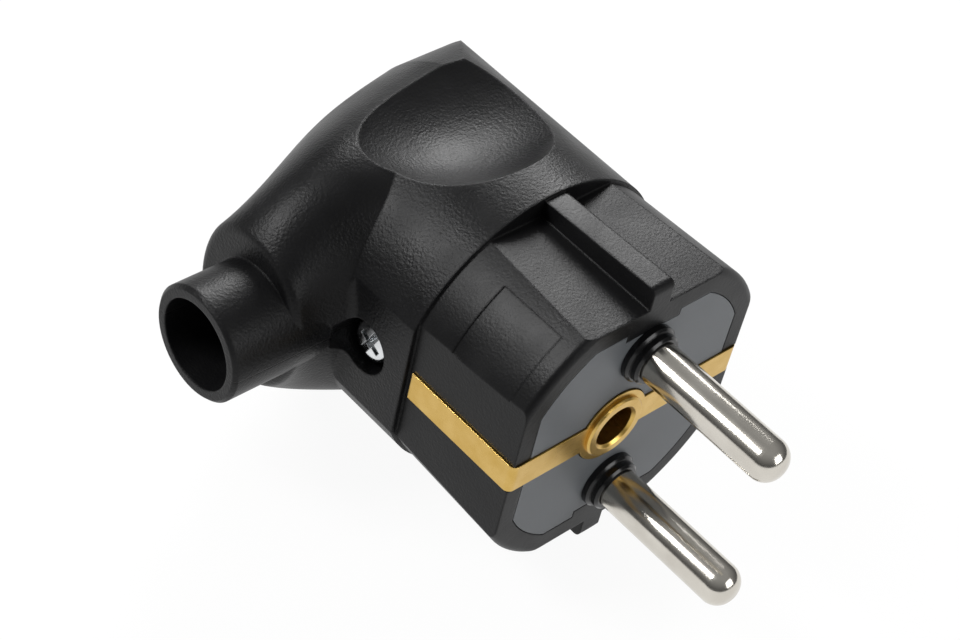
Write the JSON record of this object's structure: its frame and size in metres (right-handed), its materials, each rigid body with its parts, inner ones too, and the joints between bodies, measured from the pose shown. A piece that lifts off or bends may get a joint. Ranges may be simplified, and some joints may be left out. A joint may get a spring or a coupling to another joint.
{
  "type": "angled plug",
  "caption": "Angled mains plug with round pins, side earth strips, an earth socket, finger dishes and a side cable inlet.",
  "frame": {"origin": "middle of the front face, midway between the two pins", "axes": "-Y along the pins, away from the face; -X along the arm to the cable inlet; Z from the lower pin to the upper pin"},
  "size_m": [0.0479, 0.0682, 0.037],
  "materials": {
    "black_shell": "fine grained, soft sheen",
    "grey_plate": "satin",
    "black_collar": "gloss",
    "nickel": "polished nickel plate on brass",
    "brass": "satin brass",
    "zinc_steel": "bright zinc plate",
    "spring_steel": "plain",
    "inner_plastic": "plain moulded"
  },
  "bodies": {
    "root": {"housing": "black_shell", "face_plate": "grey_plate", "collar_upper": "black_collar", "collar_lower": "black_collar", "pin_upper": "nickel", "pin_lower": "nickel", "earth_strip": "brass", "earth_socket": "brass", "side_screw": "zinc_steel", "contact_carrier": "inner_plastic", "terminal_screw_upper": "zinc_steel", "terminal_screw_lower": "zinc_steel", "earth_terminal": "brass", "earth_terminal_screw": "zinc_steel", "earth_spring": "spring_steel", "side_nut": "zinc_steel", "cord_clamp_bar": "inner_plastic", "cord_clamp_screw_upper": "zinc_steel", "cord_clamp_screw_lower": "zinc_steel", "cord_clamp_nut_upper": "zinc_steel", "cord_clamp_nut_lower": "zinc_steel"}
  },
  "joints": []
}
